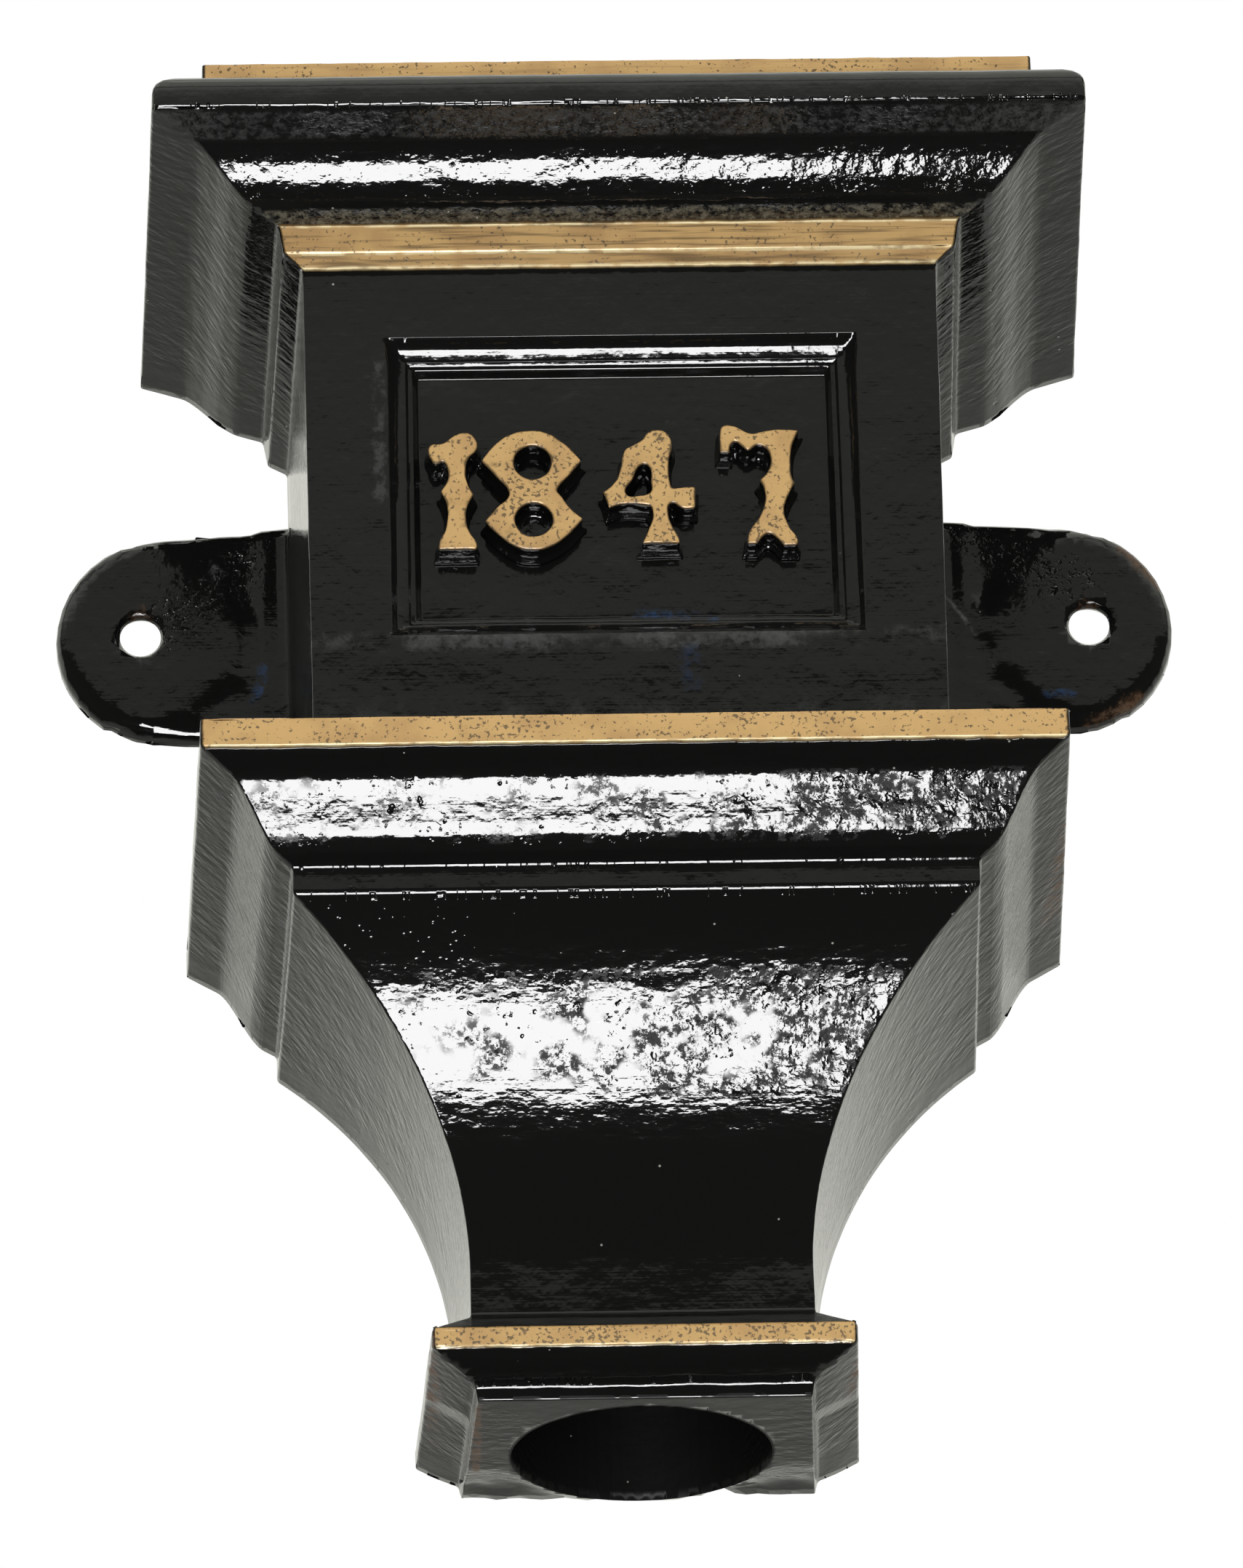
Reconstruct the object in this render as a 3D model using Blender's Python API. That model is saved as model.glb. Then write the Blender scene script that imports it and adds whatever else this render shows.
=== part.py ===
"""Cast-iron downpipe hopper head: a moulded box open at the top, a trumpet flare and a square outlet collar.

The casting stands against a wall at y = 0 and faces -Y. Its sections are rectangles in plan, so every
moulding returns along both sides with mitred corners. Each section is a half width across the front and
a height above the outlet's bottom face. The front stands further from the wall than the half width, by
one set distance, and the sides spread slightly towards the wall, which is the draft of the mould.
"""

import math

import bmesh
import bpy
from mathutils import Vector

# Outlet: the bore takes the downpipe, and the rims are the iron left around it
OUTLET_BORE = 0.076
OUTLET_BACK_RIM = 0.0025
OUTLET_FRONT_RIM = 0.0065
OUTLET_SIDE_RIM = 0.0104
OUTLET_BORE_DEPTH = 0.030

# Square collar round the outlet
COLLAR_LIP_HEIGHT = 0.0055
COLLAR_LIP_LEAN = 0.0010
COLLAR_SPLAY_HEIGHT = 0.0065
COLLAR_SPLAY = 0.0120
COLLAR_BAND_HEIGHT = 0.0060
COLLAR_TOP_RISE = 0.0080
COLLAR_TOP_SET = 0.0114

# Trumpet flare above the collar
NECK_HEIGHT = 0.014
FLARE_HEIGHT = 0.0974

# Box body
BODY_HALF_WIDTH = 0.0953
BODY_HEIGHT = 0.1568
BODY_TAPER = 0.0020
DRAFT_DEGREES = 2.8
WALL = 0.0065

# Lower cornice, between the flare and the body
LOWER_FILLET_HEIGHT = 0.0085
LOWER_FILLET_STEP = 0.0064
LOWER_STEP_BELOW = 0.0008
LOWER_CYMA_HEIGHT = 0.0272
LOWER_CYMA_REACH = 0.0260
LOWER_CYMA_SPLAY_SHARE = 0.58
LOWER_CYMA_STEP_START = 0.15
LOWER_CYMA_STEP_END = 0.66
LOWER_BAND_HEIGHT = 0.0090
LOWER_TOP_RISE = 0.0065

# Necking under the upper cornice
NECKING_SPLAY = 0.0057
NECKING_SPLAY_HEIGHT = 0.0032
NECKING_BAND_HEIGHT = 0.0084
NECKING_LEAN = 0.0015

# Upper cornice
UPPER_CYMA_HEIGHT = 0.0200
UPPER_CYMA_REACH = 0.0365
UPPER_CYMA_SPLAY_SHARE = 0.60
UPPER_CYMA_STEP_START = 0.20
UPPER_CYMA_STEP_END = 0.68
FASCIA_HEIGHT = 0.0135
FASCIA_ROUND = 0.0075
FASCIA_FALL = 0.0006
MOUTH_RIM_SET = 0.0148
MOUTH_RIM_HEIGHT = 0.0105

# Sunk panel on the body's front, measured from its outer edge
PANEL_WIDTH = 0.1406
PANEL_HEIGHT = 0.0986
PANEL_DROP = 0.0229
PANEL_SPLAY = 0.0026
PANEL_BEAD = 0.0048
PANEL_BEAD_DROP = 0.0028
PANEL_BEAD_CROWN = 0.17
PANEL_QUIRK = 0.0006
PANEL_STEP = 0.0019
PANEL_STEP_DROP = 0.0035

# Fixing ears, which lie flat on the wall
EAR_HOLE_SPACING = 0.2946
EAR_HOLE = 0.0142
EAR_HOLE_SOFTENING = 0.0024
EAR_TIP_MARGIN = 0.0265
EAR_END_RADIUS = 0.036
EAR_ROOT_SPREAD = 0.004
EAR_THICKNESS = 0.008
EAR_EDGE_ROUND = 0.0055
EAR_DROP = 0.059
EAR_ROOT_OVERLAP = 0.012
EAR_COVE = 0.0045

# Inside of the casting
BACK_WALL = 0.0065
POCKET_SET = 0.0138

# Softness of the casting's outer corners, arrises and inner corners
CORNER_ROUND = 0.0022
ARRIS_ROUND = 0.0008
ARRIS_ANGLE = math.radians(40)

# Steps along curves
CYMA_STEPS = 30
FLARE_STEPS = 36
ROUND_STEPS = 6
BEAD_STEPS = 5
BORE_SIDES = 64
HOLE_SIDES = 32
EAR_END_STEPS = 20
EAR_ROUND_STEPS = 4
EAR_COVE_STEPS = 6
CORNER_STEPS = 3
ARRIS_STEPS = 2
CUT_OVERRUN = 0.004

# Plan of the sections
OUTLET_HALF_WIDTH = OUTLET_BORE / 2 + OUTLET_SIDE_RIM
OUTLET_DEPTH = OUTLET_BACK_RIM + OUTLET_BORE + OUTLET_FRONT_RIM
FRONT_SET = OUTLET_DEPTH - OUTLET_HALF_WIDTH
DRAFT = math.tan(math.radians(DRAFT_DEGREES))

# Heights above the outlet's bottom face
COLLAR_TOP = COLLAR_LIP_HEIGHT + COLLAR_SPLAY_HEIGHT + COLLAR_BAND_HEIGHT + COLLAR_TOP_RISE
FLARE_BOTTOM = COLLAR_TOP + NECK_HEIGHT
FLARE_TOP = FLARE_BOTTOM + FLARE_HEIGHT
LOWER_CYMA_BOTTOM = FLARE_TOP + LOWER_FILLET_HEIGHT
LOWER_BAND_BOTTOM = LOWER_CYMA_BOTTOM + LOWER_CYMA_HEIGHT
LOWER_BAND_TOP = LOWER_BAND_BOTTOM + LOWER_BAND_HEIGHT
BODY_BOTTOM = LOWER_BAND_TOP + LOWER_TOP_RISE
BODY_TOP = BODY_BOTTOM + BODY_HEIGHT
NECKING_BOTTOM = BODY_TOP + NECKING_SPLAY_HEIGHT
NECKING_TOP = NECKING_BOTTOM + NECKING_BAND_HEIGHT
FASCIA_BOTTOM = NECKING_TOP + UPPER_CYMA_HEIGHT
FASCIA_TOP = FASCIA_BOTTOM + FASCIA_HEIGHT
MOUTH_TOP = FASCIA_TOP + MOUTH_RIM_HEIGHT
EAR_HEIGHT = BODY_TOP - EAR_DROP

# Half widths of the sections
BODY_FOOT_HALF_WIDTH = BODY_HALF_WIDTH - BODY_TAPER
COLLAR_HALF_WIDTH = OUTLET_HALF_WIDTH + COLLAR_LIP_LEAN + COLLAR_SPLAY
NECK_HALF_WIDTH = COLLAR_HALF_WIDTH - COLLAR_TOP_SET
LOWER_FILLET_HALF_WIDTH = BODY_FOOT_HALF_WIDTH + LOWER_FILLET_STEP
FLARE_HALF_WIDTH = LOWER_FILLET_HALF_WIDTH - LOWER_STEP_BELOW
LOWER_BAND_HALF_WIDTH = LOWER_FILLET_HALF_WIDTH + LOWER_CYMA_REACH
NECKING_FOOT_HALF_WIDTH = BODY_HALF_WIDTH + NECKING_SPLAY
NECKING_HALF_WIDTH = NECKING_FOOT_HALF_WIDTH + NECKING_LEAN
FASCIA_HALF_WIDTH = NECKING_HALF_WIDTH + UPPER_CYMA_REACH
MOUTH_RIM_HALF_WIDTH = FASCIA_HALF_WIDTH - MOUTH_RIM_SET
MOUTH_HALF_WIDTH = MOUTH_RIM_HALF_WIDTH - WALL
EAR_ROOT = BODY_HALF_WIDTH - EAR_ROOT_OVERLAP

# Sunk panel
PANEL_TOP = BODY_TOP - PANEL_DROP
PANEL_MIDDLE = PANEL_TOP - PANEL_HEIGHT / 2
PANEL_DEPTH = PANEL_SPLAY + PANEL_BEAD_DROP + PANEL_STEP_DROP

IRON_COLOUR = (0.006, 0.006, 0.006, 1.0)
IRON_ROUGHNESS = 0.18


def flare_radius(spread):
    """Radius of the arc that leaves the neck upright and spreads by this much over the flare's height."""
    return (spread**2 + FLARE_HEIGHT**2) / (2 * spread)


def flare_arc(radius_gain, top_height):
    """Half widths and heights up the flare, on an arc about the flare's own centre."""
    radius = flare_radius(FLARE_HALF_WIDTH - NECK_HALF_WIDTH)
    centre = NECK_HALF_WIDTH + radius
    rise = top_height - FLARE_BOTTOM
    top_angle = math.asin(rise / (radius + radius_gain))
    points = []
    for step in range(FLARE_STEPS + 1):
        angle = top_angle * step / FLARE_STEPS
        half_width = centre - (radius + radius_gain) * math.cos(angle)
        points.append((half_width, FLARE_BOTTOM + (radius + radius_gain) * math.sin(angle)))
    return points


def swell(share, start, end):
    """A smooth rise from 0 to 1 between two shares of the way."""
    part = min(max((share - start) / (end - start), 0.0), 1.0)
    return part * part * (3 - 2 * part)


def cyma(foot_half_width, foot_height, reach, height, splay_share, step_start, step_end):
    """A cornice moulding from its foot outwards: an even splay with one rounded step in it."""
    points = []
    for step in range(CYMA_STEPS + 1):
        share = step / CYMA_STEPS
        rise = splay_share * share + (1 - splay_share) * swell(share, step_start, step_end)
        points.append((foot_half_width + reach * share, foot_height + height * rise))
    return points


def fascia_round():
    """The rounded top edge of the fascia."""
    points = []
    for step in range(ROUND_STEPS + 1):
        angle = math.pi / 2 * step / ROUND_STEPS
        half_width = FASCIA_HALF_WIDTH - FASCIA_ROUND * (1 - math.cos(angle))
        points.append((half_width, FASCIA_TOP - FASCIA_ROUND * (1 - math.sin(angle))))
    return points


def outer_sections():
    """The outside, from the outlet's bottom face up to the rim of the mouth."""
    sections = [
        (OUTLET_HALF_WIDTH, 0.0),
        (OUTLET_HALF_WIDTH + COLLAR_LIP_LEAN, COLLAR_LIP_HEIGHT),
        (COLLAR_HALF_WIDTH, COLLAR_LIP_HEIGHT + COLLAR_SPLAY_HEIGHT),
        (COLLAR_HALF_WIDTH, COLLAR_TOP - COLLAR_TOP_RISE),
        (NECK_HALF_WIDTH, COLLAR_TOP),
    ]
    sections += flare_arc(0.0, FLARE_TOP)
    sections += [(LOWER_FILLET_HALF_WIDTH, FLARE_TOP + LOWER_STEP_BELOW)]
    sections += cyma(
        LOWER_FILLET_HALF_WIDTH, LOWER_CYMA_BOTTOM, LOWER_CYMA_REACH, LOWER_CYMA_HEIGHT,
        LOWER_CYMA_SPLAY_SHARE, LOWER_CYMA_STEP_START, LOWER_CYMA_STEP_END)
    sections += [
        (LOWER_BAND_HALF_WIDTH, LOWER_BAND_TOP),
        (BODY_FOOT_HALF_WIDTH, BODY_BOTTOM),
        (BODY_HALF_WIDTH, BODY_TOP),
        (NECKING_FOOT_HALF_WIDTH, NECKING_BOTTOM),
    ]
    sections += cyma(
        NECKING_HALF_WIDTH, NECKING_TOP, UPPER_CYMA_REACH, UPPER_CYMA_HEIGHT,
        UPPER_CYMA_SPLAY_SHARE, UPPER_CYMA_STEP_START, UPPER_CYMA_STEP_END)
    sections += fascia_round()
    sections += [
        (MOUTH_RIM_HALF_WIDTH, FASCIA_TOP + FASCIA_FALL),
        (MOUTH_RIM_HALF_WIDTH, MOUTH_TOP),
    ]
    return sections


def inner_sections():
    """The inside, from the top of the outlet's bore up through the open mouth."""
    shaft = FLARE_HALF_WIDTH - WALL
    pocket = LOWER_BAND_HALF_WIDTH - POCKET_SET
    sections = [(NECK_HALF_WIDTH - WALL, OUTLET_BORE_DEPTH)]
    sections += flare_arc(WALL, FLARE_TOP - WALL)
    sections += [
        (shaft, FLARE_TOP),
        (shaft, LOWER_CYMA_BOTTOM + WALL),
        (pocket, LOWER_BAND_BOTTOM),
        (pocket, LOWER_BAND_TOP - WALL),
        (BODY_FOOT_HALF_WIDTH - WALL, BODY_BOTTOM - WALL),
        (BODY_HALF_WIDTH - WALL, BODY_TOP),
        (NECKING_HALF_WIDTH - WALL, NECKING_TOP + WALL / 2),
        (MOUTH_HALF_WIDTH, FASCIA_BOTTOM),
        (MOUTH_HALF_WIDTH, MOUTH_TOP + CUT_OVERRUN),
    ]
    return sections


def front_corners(bm, low, high):
    """The casting's front corner edges between two heights."""
    return [
        edge for edge in bm.edges
        if all(low <= vert.co.z <= high and vert.co.y < -ARRIS_ROUND for vert in edge.verts)
        and edge.verts[0].co.z != edge.verts[1].co.z
    ]


def soften(bm):
    """Round the corners of fascia and collar, then every arris and inner corner, except along the wall."""
    slack = ARRIS_ROUND / 2
    corners = front_corners(bm, FASCIA_BOTTOM - slack, FASCIA_TOP + slack)
    corners += front_corners(
        bm, COLLAR_LIP_HEIGHT + COLLAR_SPLAY_HEIGHT - slack, COLLAR_TOP - COLLAR_TOP_RISE + slack)
    bmesh.ops.bevel(
        bm, geom=corners, offset=CORNER_ROUND, offset_type="OFFSET", segments=CORNER_STEPS, profile=0.5,
        affect="EDGES", clamp_overlap=True)
    arrises = [
        edge for edge in bm.edges
        if edge.calc_face_angle() > ARRIS_ANGLE and any(vert.co.y < -ARRIS_ROUND for vert in edge.verts)
    ]
    bmesh.ops.bevel(
        bm, geom=arrises, offset=ARRIS_ROUND, offset_type="OFFSET", segments=ARRIS_STEPS, profile=0.5,
        affect="EDGES", clamp_overlap=True)


def new_object(name, collection, bm):
    """Close a bmesh into an object whose faces point outwards."""
    bmesh.ops.recalc_face_normals(bm, faces=bm.faces)
    if bm.calc_volume(signed=True) < 0:
        bmesh.ops.reverse_faces(bm, faces=bm.faces)
    mesh = bpy.data.meshes.new(name)
    bm.to_mesh(mesh)
    bm.free()
    made = bpy.data.objects.new(name, mesh)
    collection.objects.link(made)
    return made


def stack(name, collection, plans, place=None, finish=None):
    """Extrude one rectangle through a list of plans, each (front half, back half, front, back, height)."""
    bm = bmesh.new()
    bmesh.ops.create_grid(bm, x_segments=1, y_segments=1, size=1.0)
    face = bm.faces[:][0]
    for number, (front_half, back_half, front, back, height) in enumerate(plans):
        if number:
            grown = bmesh.ops.extrude_face_region(bm, geom=[face])["geom"]
            if number > 1:
                bmesh.ops.delete(bm, geom=[face], context="FACES_ONLY")
            face = next(item for item in grown if isinstance(item, bmesh.types.BMFace))
        middle = sum(vert.co.y for vert in face.verts) / len(face.verts)
        for vert in face.verts:
            side = math.copysign(1.0, vert.co.x)
            if vert.co.y < middle:
                vert.co = Vector((side * front_half, front, height))
            else:
                vert.co = Vector((side * back_half, back, height))
    if place:
        for vert in bm.verts:
            vert.co = place(vert.co)
    if finish:
        finish(bm)
    return new_object(name, collection, bm)


def drafted_plans(sections, back):
    """Turn half widths and heights into plans that spread towards the wall by the mould's draft."""
    plans = []
    for half_width, height in sections:
        depth = half_width + FRONT_SET
        plans.append((half_width, half_width + (depth + back) * DRAFT, -depth, back, height))
    return plans


def panel_sections():
    """The sunk panel's frame: how far in from its outer edge, and how far below the front."""
    sections = [(0.0, 0.0), (PANEL_SPLAY, PANEL_SPLAY)]
    chord = math.atan2(PANEL_BEAD_DROP, PANEL_BEAD)
    bulge = PANEL_BEAD_CROWN * math.hypot(PANEL_BEAD, PANEL_BEAD_DROP)
    for step in range(1, BEAD_STEPS + 1):
        share = step / BEAD_STEPS
        lift = bulge * 4 * share * (1 - share)
        inset = PANEL_SPLAY + PANEL_BEAD * share + lift * math.sin(chord)
        sections.append((inset, PANEL_SPLAY + PANEL_BEAD_DROP * share - lift * math.cos(chord)))
    quirk = PANEL_SPLAY + PANEL_BEAD + PANEL_QUIRK
    sections.append((quirk, PANEL_SPLAY + PANEL_BEAD_DROP))
    sections.append((quirk + PANEL_STEP, PANEL_DEPTH))
    return sections


def body_front(height):
    """How far from the wall the body's front is at a height: it leans a little with the body's taper."""
    share = (height - BODY_BOTTOM) / BODY_HEIGHT
    return BODY_FOOT_HALF_WIDTH + BODY_TAPER * share + FRONT_SET


def panel_place(point):
    """Stand a panel section up on the body's leaning front: its height becomes the way in."""
    across, up, inward = point
    height = PANEL_MIDDLE + up
    return Vector((across, inward - body_front(height), height))


def panel_cutter(collection):
    """The recess, as rectangles that shrink as they go in."""
    plans = []
    for inset, depth in [(0.0, -CUT_OVERRUN)] + panel_sections():
        half_width = PANEL_WIDTH / 2 - inset
        half_height = PANEL_HEIGHT / 2 - inset
        plans.append((half_width, half_width, -half_height, half_height, depth))
    return stack("panel_cutter", collection, plans, panel_place)


def panel_backing(collection):
    """The boss inside the front that keeps a full wall behind the sunk panel."""
    half_width = PANEL_WIDTH / 2 - PANEL_SPLAY + WALL / 2
    front = body_front(PANEL_MIDDLE)
    return stack("panel_backing", collection, [
        (half_width, half_width, WALL / 2 - front, PANEL_DEPTH + WALL - front, height)
        for height in (PANEL_MIDDLE - PANEL_HEIGHT / 2, PANEL_TOP)
    ])


def ear_outline(side):
    """One ear's outline on the wall, from its root inside the body round its end and back."""
    hole = EAR_HOLE_SPACING / 2
    centre = hole + EAR_TIP_MARGIN - EAR_END_RADIUS
    root_half = EAR_END_RADIUS + EAR_ROOT_SPREAD
    points = [(side * EAR_ROOT, EAR_HEIGHT - root_half)]
    for step in range(EAR_END_STEPS + 1):
        angle = -math.pi / 2 + math.pi * step / EAR_END_STEPS
        across = centre + EAR_END_RADIUS * math.cos(angle)
        points.append((side * across, EAR_HEIGHT + EAR_END_RADIUS * math.sin(angle)))
    points.append((side * EAR_ROOT, EAR_HEIGHT + root_half))
    return points


def ear(name, collection, side):
    """A flat plate with a rounded end, whose front edge is rounded over."""
    outline = bpy.data.curves.new(name + "_outline", "CURVE")
    outline.dimensions = "2D"
    outline.fill_mode = "BOTH"
    outline.extrude = EAR_THICKNESS / 2
    spline = outline.splines.new("POLY")
    points = ear_outline(side)
    spline.points.add(len(points) - 1)
    for point, (across, up) in zip(spline.points, points):
        point.co = (across, up, 0.0, 1.0)
    spline.use_cyclic_u = True
    holder = bpy.data.objects.new(name + "_outline", outline)
    collection.objects.link(holder)
    filled = bpy.data.meshes.new_from_object(holder.evaluated_get(bpy.context.evaluated_depsgraph_get()))
    bpy.data.objects.remove(holder)
    bm = bmesh.new()
    bm.from_mesh(filled)
    bpy.data.meshes.remove(filled)
    bmesh.ops.remove_doubles(bm, verts=bm.verts, dist=1e-6)
    bmesh.ops.dissolve_limit(bm, angle_limit=math.radians(1), verts=bm.verts, edges=bm.edges)
    for vert in bm.verts:
        across, up, out = vert.co
        vert.co = Vector((across, -out - EAR_THICKNESS / 2, up))
    bmesh.ops.recalc_face_normals(bm, faces=bm.faces)
    front_edges = [
        edge for edge in bm.edges
        if all(vert.co.y < -EAR_THICKNESS / 2 for vert in edge.verts)
        and any(abs(vert.co.x) > EAR_ROOT + CUT_OVERRUN for vert in edge.verts)
    ]
    bmesh.ops.bevel(
        bm, geom=front_edges, offset=EAR_EDGE_ROUND, offset_type="OFFSET", segments=EAR_ROUND_STEPS,
        profile=0.5, affect="EDGES", clamp_overlap=True,
    )
    return new_object(name, collection, bm)


def body_side(height, y):
    """Half width of the body at a height and a distance from the wall."""
    depth = body_front(height)
    return depth - FRONT_SET + (depth + y) * DRAFT


def ear_cove(name, collection, side):
    """The hollow fillet that runs up the corner between an ear's front and the body's side."""
    half_height = EAR_END_RADIUS + EAR_ROOT_SPREAD - EAR_EDGE_ROUND
    low, high = EAR_HEIGHT - half_height, EAR_HEIGHT + half_height
    corner = body_side(low, -EAR_THICKNESS)
    centre = (corner + EAR_COVE, -EAR_THICKNESS - EAR_COVE)
    outline = [(centre[0], EAR_COVE / 2 - EAR_THICKNESS)]
    for step in range(EAR_COVE_STEPS + 1):
        angle = math.pi / 2 * (1 + step / EAR_COVE_STEPS)
        outline.append((centre[0] + EAR_COVE * math.cos(angle), centre[1] + EAR_COVE * math.sin(angle)))
    outline.append((corner - EAR_COVE / 2, centre[1]))
    outline.append((corner - EAR_COVE / 2, EAR_COVE / 2 - EAR_THICKNESS))
    bm = bmesh.new()
    foot = bm.faces.new([bm.verts.new((side * across, y, low)) for across, y in outline])
    grown = bmesh.ops.extrude_face_region(bm, geom=[foot])["geom"]
    spread = body_side(high, -EAR_THICKNESS) - corner
    bmesh.ops.translate(
        bm, vec=(side * spread, 0.0, high - low),
        verts=[item for item in grown if isinstance(item, bmesh.types.BMVert)])
    return new_object(name, collection, bm)


def cylinder(name, collection, radius, low, high, axis, centre, sides, flare=0.0):
    """A round cutter along an axis. With a flare, its ends open out, so that the hole's rims are soft."""
    length = high - low
    bm = bmesh.new()
    bmesh.ops.create_cone(
        bm, cap_ends=True, segments=sides, radius1=radius + flare, radius2=radius + flare, depth=length)
    if flare:
        for share in (0.5 - 2 * flare / length, 2 * flare / length - 0.5):
            walls = bm.verts[:] + bm.edges[:] + bm.faces[:]
            cut = bmesh.ops.bisect_plane(bm, geom=walls, plane_co=(0, 0, share * length), plane_no=(0, 0, 1))
            ring = [item for item in cut["geom_cut"] if isinstance(item, bmesh.types.BMVert)]
            for vert in ring:
                vert.co.x *= radius / (radius + flare)
                vert.co.y *= radius / (radius + flare)
    for vert in bm.verts:
        across, deep, along = vert.co
        if axis == "Y":
            vert.co = Vector((centre[0] + across, (low + high) / 2 + along, centre[1] + deep))
        else:
            vert.co = Vector((centre[0] + across, centre[1] + deep, (low + high) / 2 + along))
    return new_object(name, collection, bm)


def combine(target, tool, operation):
    """Add or cut one solid with another, exactly."""
    modifier = target.modifiers.new(tool.name, "BOOLEAN")
    modifier.operation = operation
    modifier.solver = "EXACT"
    modifier.object = tool
    tool.hide_render = True
    tool.display_type = "WIRE"


def iron_material():
    """Gloss black paint over iron."""
    material = bpy.data.materials.new("painted_iron")
    material.use_nodes = True
    shader = material.node_tree.nodes["Principled BSDF"]
    shader.inputs["Base Color"].default_value = IRON_COLOUR
    shader.inputs["Roughness"].default_value = IRON_ROUGHNESS
    shader.inputs["Metallic"].default_value = 0.0
    return material


def build():
    for item in list(bpy.data.objects):
        bpy.data.objects.remove(item)
    parts = bpy.data.collections.new("hopper_head")
    cutters = bpy.data.collections.new("cutters")
    for collection in (parts, cutters):
        bpy.context.scene.collection.children.link(collection)

    casting = stack("hopper_casting", parts, drafted_plans(outer_sections(), 0.0), finish=soften)
    casting.location.z = -EAR_HEIGHT
    tools = []
    for name, side in (("left_ear", -1), ("right_ear", 1)):
        tools.append((ear(name, cutters, side), "UNION"))
        tools.append((ear_cove(name + "_cove", cutters, side), "UNION"))
    cavity = stack("cavity", cutters, drafted_plans(inner_sections(), -BACK_WALL))
    tools.append((cavity, "DIFFERENCE"))
    tools.append((panel_backing(cutters), "UNION"))
    tools.append((panel_cutter(cutters), "DIFFERENCE"))
    bore_centre = (0.0, -OUTLET_BACK_RIM - OUTLET_BORE / 2)
    tools.append((cylinder(
        "outlet_bore", cutters, OUTLET_BORE / 2, -CUT_OVERRUN, OUTLET_BORE_DEPTH + CUT_OVERRUN,
        "Z", bore_centre, BORE_SIDES), "DIFFERENCE"))
    for name, side in (("left_hole", -1), ("right_hole", 1)):
        tools.append((cylinder(
            name, cutters, EAR_HOLE / 2, -EAR_THICKNESS - EAR_HOLE_SOFTENING, EAR_HOLE_SOFTENING,
            "Y", (side * EAR_HOLE_SPACING / 2, EAR_HEIGHT), HOLE_SIDES, EAR_HOLE_SOFTENING), "DIFFERENCE"))
    for tool, operation in tools:
        tool.parent = casting
        combine(casting, tool, operation)
    casting.data.materials.append(iron_material())


build()
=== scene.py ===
import math

import bpy
from mathutils import Matrix, Vector


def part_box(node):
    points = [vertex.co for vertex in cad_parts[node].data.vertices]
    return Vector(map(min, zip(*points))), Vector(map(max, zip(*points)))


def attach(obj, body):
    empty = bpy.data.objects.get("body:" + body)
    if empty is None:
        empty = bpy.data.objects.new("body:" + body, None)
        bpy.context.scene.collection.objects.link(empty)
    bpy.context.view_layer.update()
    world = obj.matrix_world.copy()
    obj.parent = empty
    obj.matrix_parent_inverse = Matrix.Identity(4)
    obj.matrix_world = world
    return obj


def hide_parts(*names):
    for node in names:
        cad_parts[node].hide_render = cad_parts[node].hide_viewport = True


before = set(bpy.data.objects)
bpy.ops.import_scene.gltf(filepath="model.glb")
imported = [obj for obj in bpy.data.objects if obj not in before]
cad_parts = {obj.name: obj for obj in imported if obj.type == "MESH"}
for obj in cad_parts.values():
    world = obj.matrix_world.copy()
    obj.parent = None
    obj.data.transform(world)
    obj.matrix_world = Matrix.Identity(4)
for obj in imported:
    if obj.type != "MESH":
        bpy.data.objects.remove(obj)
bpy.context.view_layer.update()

# The camera stands below the hopper head and looks up at it, a little from the left.
# Its place and lens were fitted to the mitred corners, the screw holes and the outlet.
CAMERA_PITCH = math.radians(25.571)
CAMERA_YAW = math.radians(1.906)
CAMERA_ROLL = math.radians(-1.574)
CAMERA_TARGET = Vector((-0.0022, -0.0900, -0.0927))
CAMERA_DISTANCE = 2.5
CAMERA_SENSOR_HEIGHT = 24.0
CAMERA_LENS = 128.95

forward = Vector((
    math.sin(CAMERA_YAW) * math.cos(CAMERA_PITCH),
    math.cos(CAMERA_YAW) * math.cos(CAMERA_PITCH),
    math.sin(CAMERA_PITCH),
))
level_right = forward.cross(Vector((0, 0, 1))).normalized()
level_up = level_right.cross(forward)
right = level_right * math.cos(CAMERA_ROLL) + level_up * math.sin(CAMERA_ROLL)
up = level_up * math.cos(CAMERA_ROLL) - level_right * math.sin(CAMERA_ROLL)
camera_data = bpy.data.cameras.new("camera")
camera_data.sensor_fit = "VERTICAL"
camera_data.sensor_height = CAMERA_SENSOR_HEIGHT
camera_data.lens = CAMERA_LENS
camera = bpy.data.objects.new("camera", camera_data)
bpy.context.collection.objects.link(camera)
turn = Matrix((right, up, -forward)).transposed().to_4x4()
camera.matrix_world = Matrix.Translation(CAMERA_TARGET - forward * CAMERA_DISTANCE) @ turn
bpy.context.scene.camera = camera


# The casting is grey iron from a sand mould: one shell with its ears, mouldings and outlet.
# Its skin is the solid's own form with an uneven cast surface and a slimmer frame round the panel,
# and its thin rims are worn: the upstand's top is wavy, and the outlet's back edge is chipped.
CASTING_MERGE = 1e-5
CASTING_FLAT_ANGLE = math.radians(0.3)
CASTING_CELL = 0.0034
CAST_SWELL_SIZE = 0.040
CAST_SWELL_DEPTH = 0.0004
CAST_LUMP_SIZE = 0.009
CAST_LUMP_DEPTH = 0.00025
UPSTAND_FOOT = 0.1045
UPSTAND_TOP = 0.1146
UPSTAND_SHARE = 0.15
UPSTAND_WEAR_SIZE = 0.012
UPSTAND_WEAR_DEPTH = 0.0006
OUTLET_FACE = -0.2864
OUTLET_WEAR_START = -0.030
OUTLET_WEAR_FULL = -0.012
OUTLET_WEAR_SIZE = 0.009
OUTLET_WEAR_DEPTH = 0.0042
OUTLET_WEAR_FADE = 0.008
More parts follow.
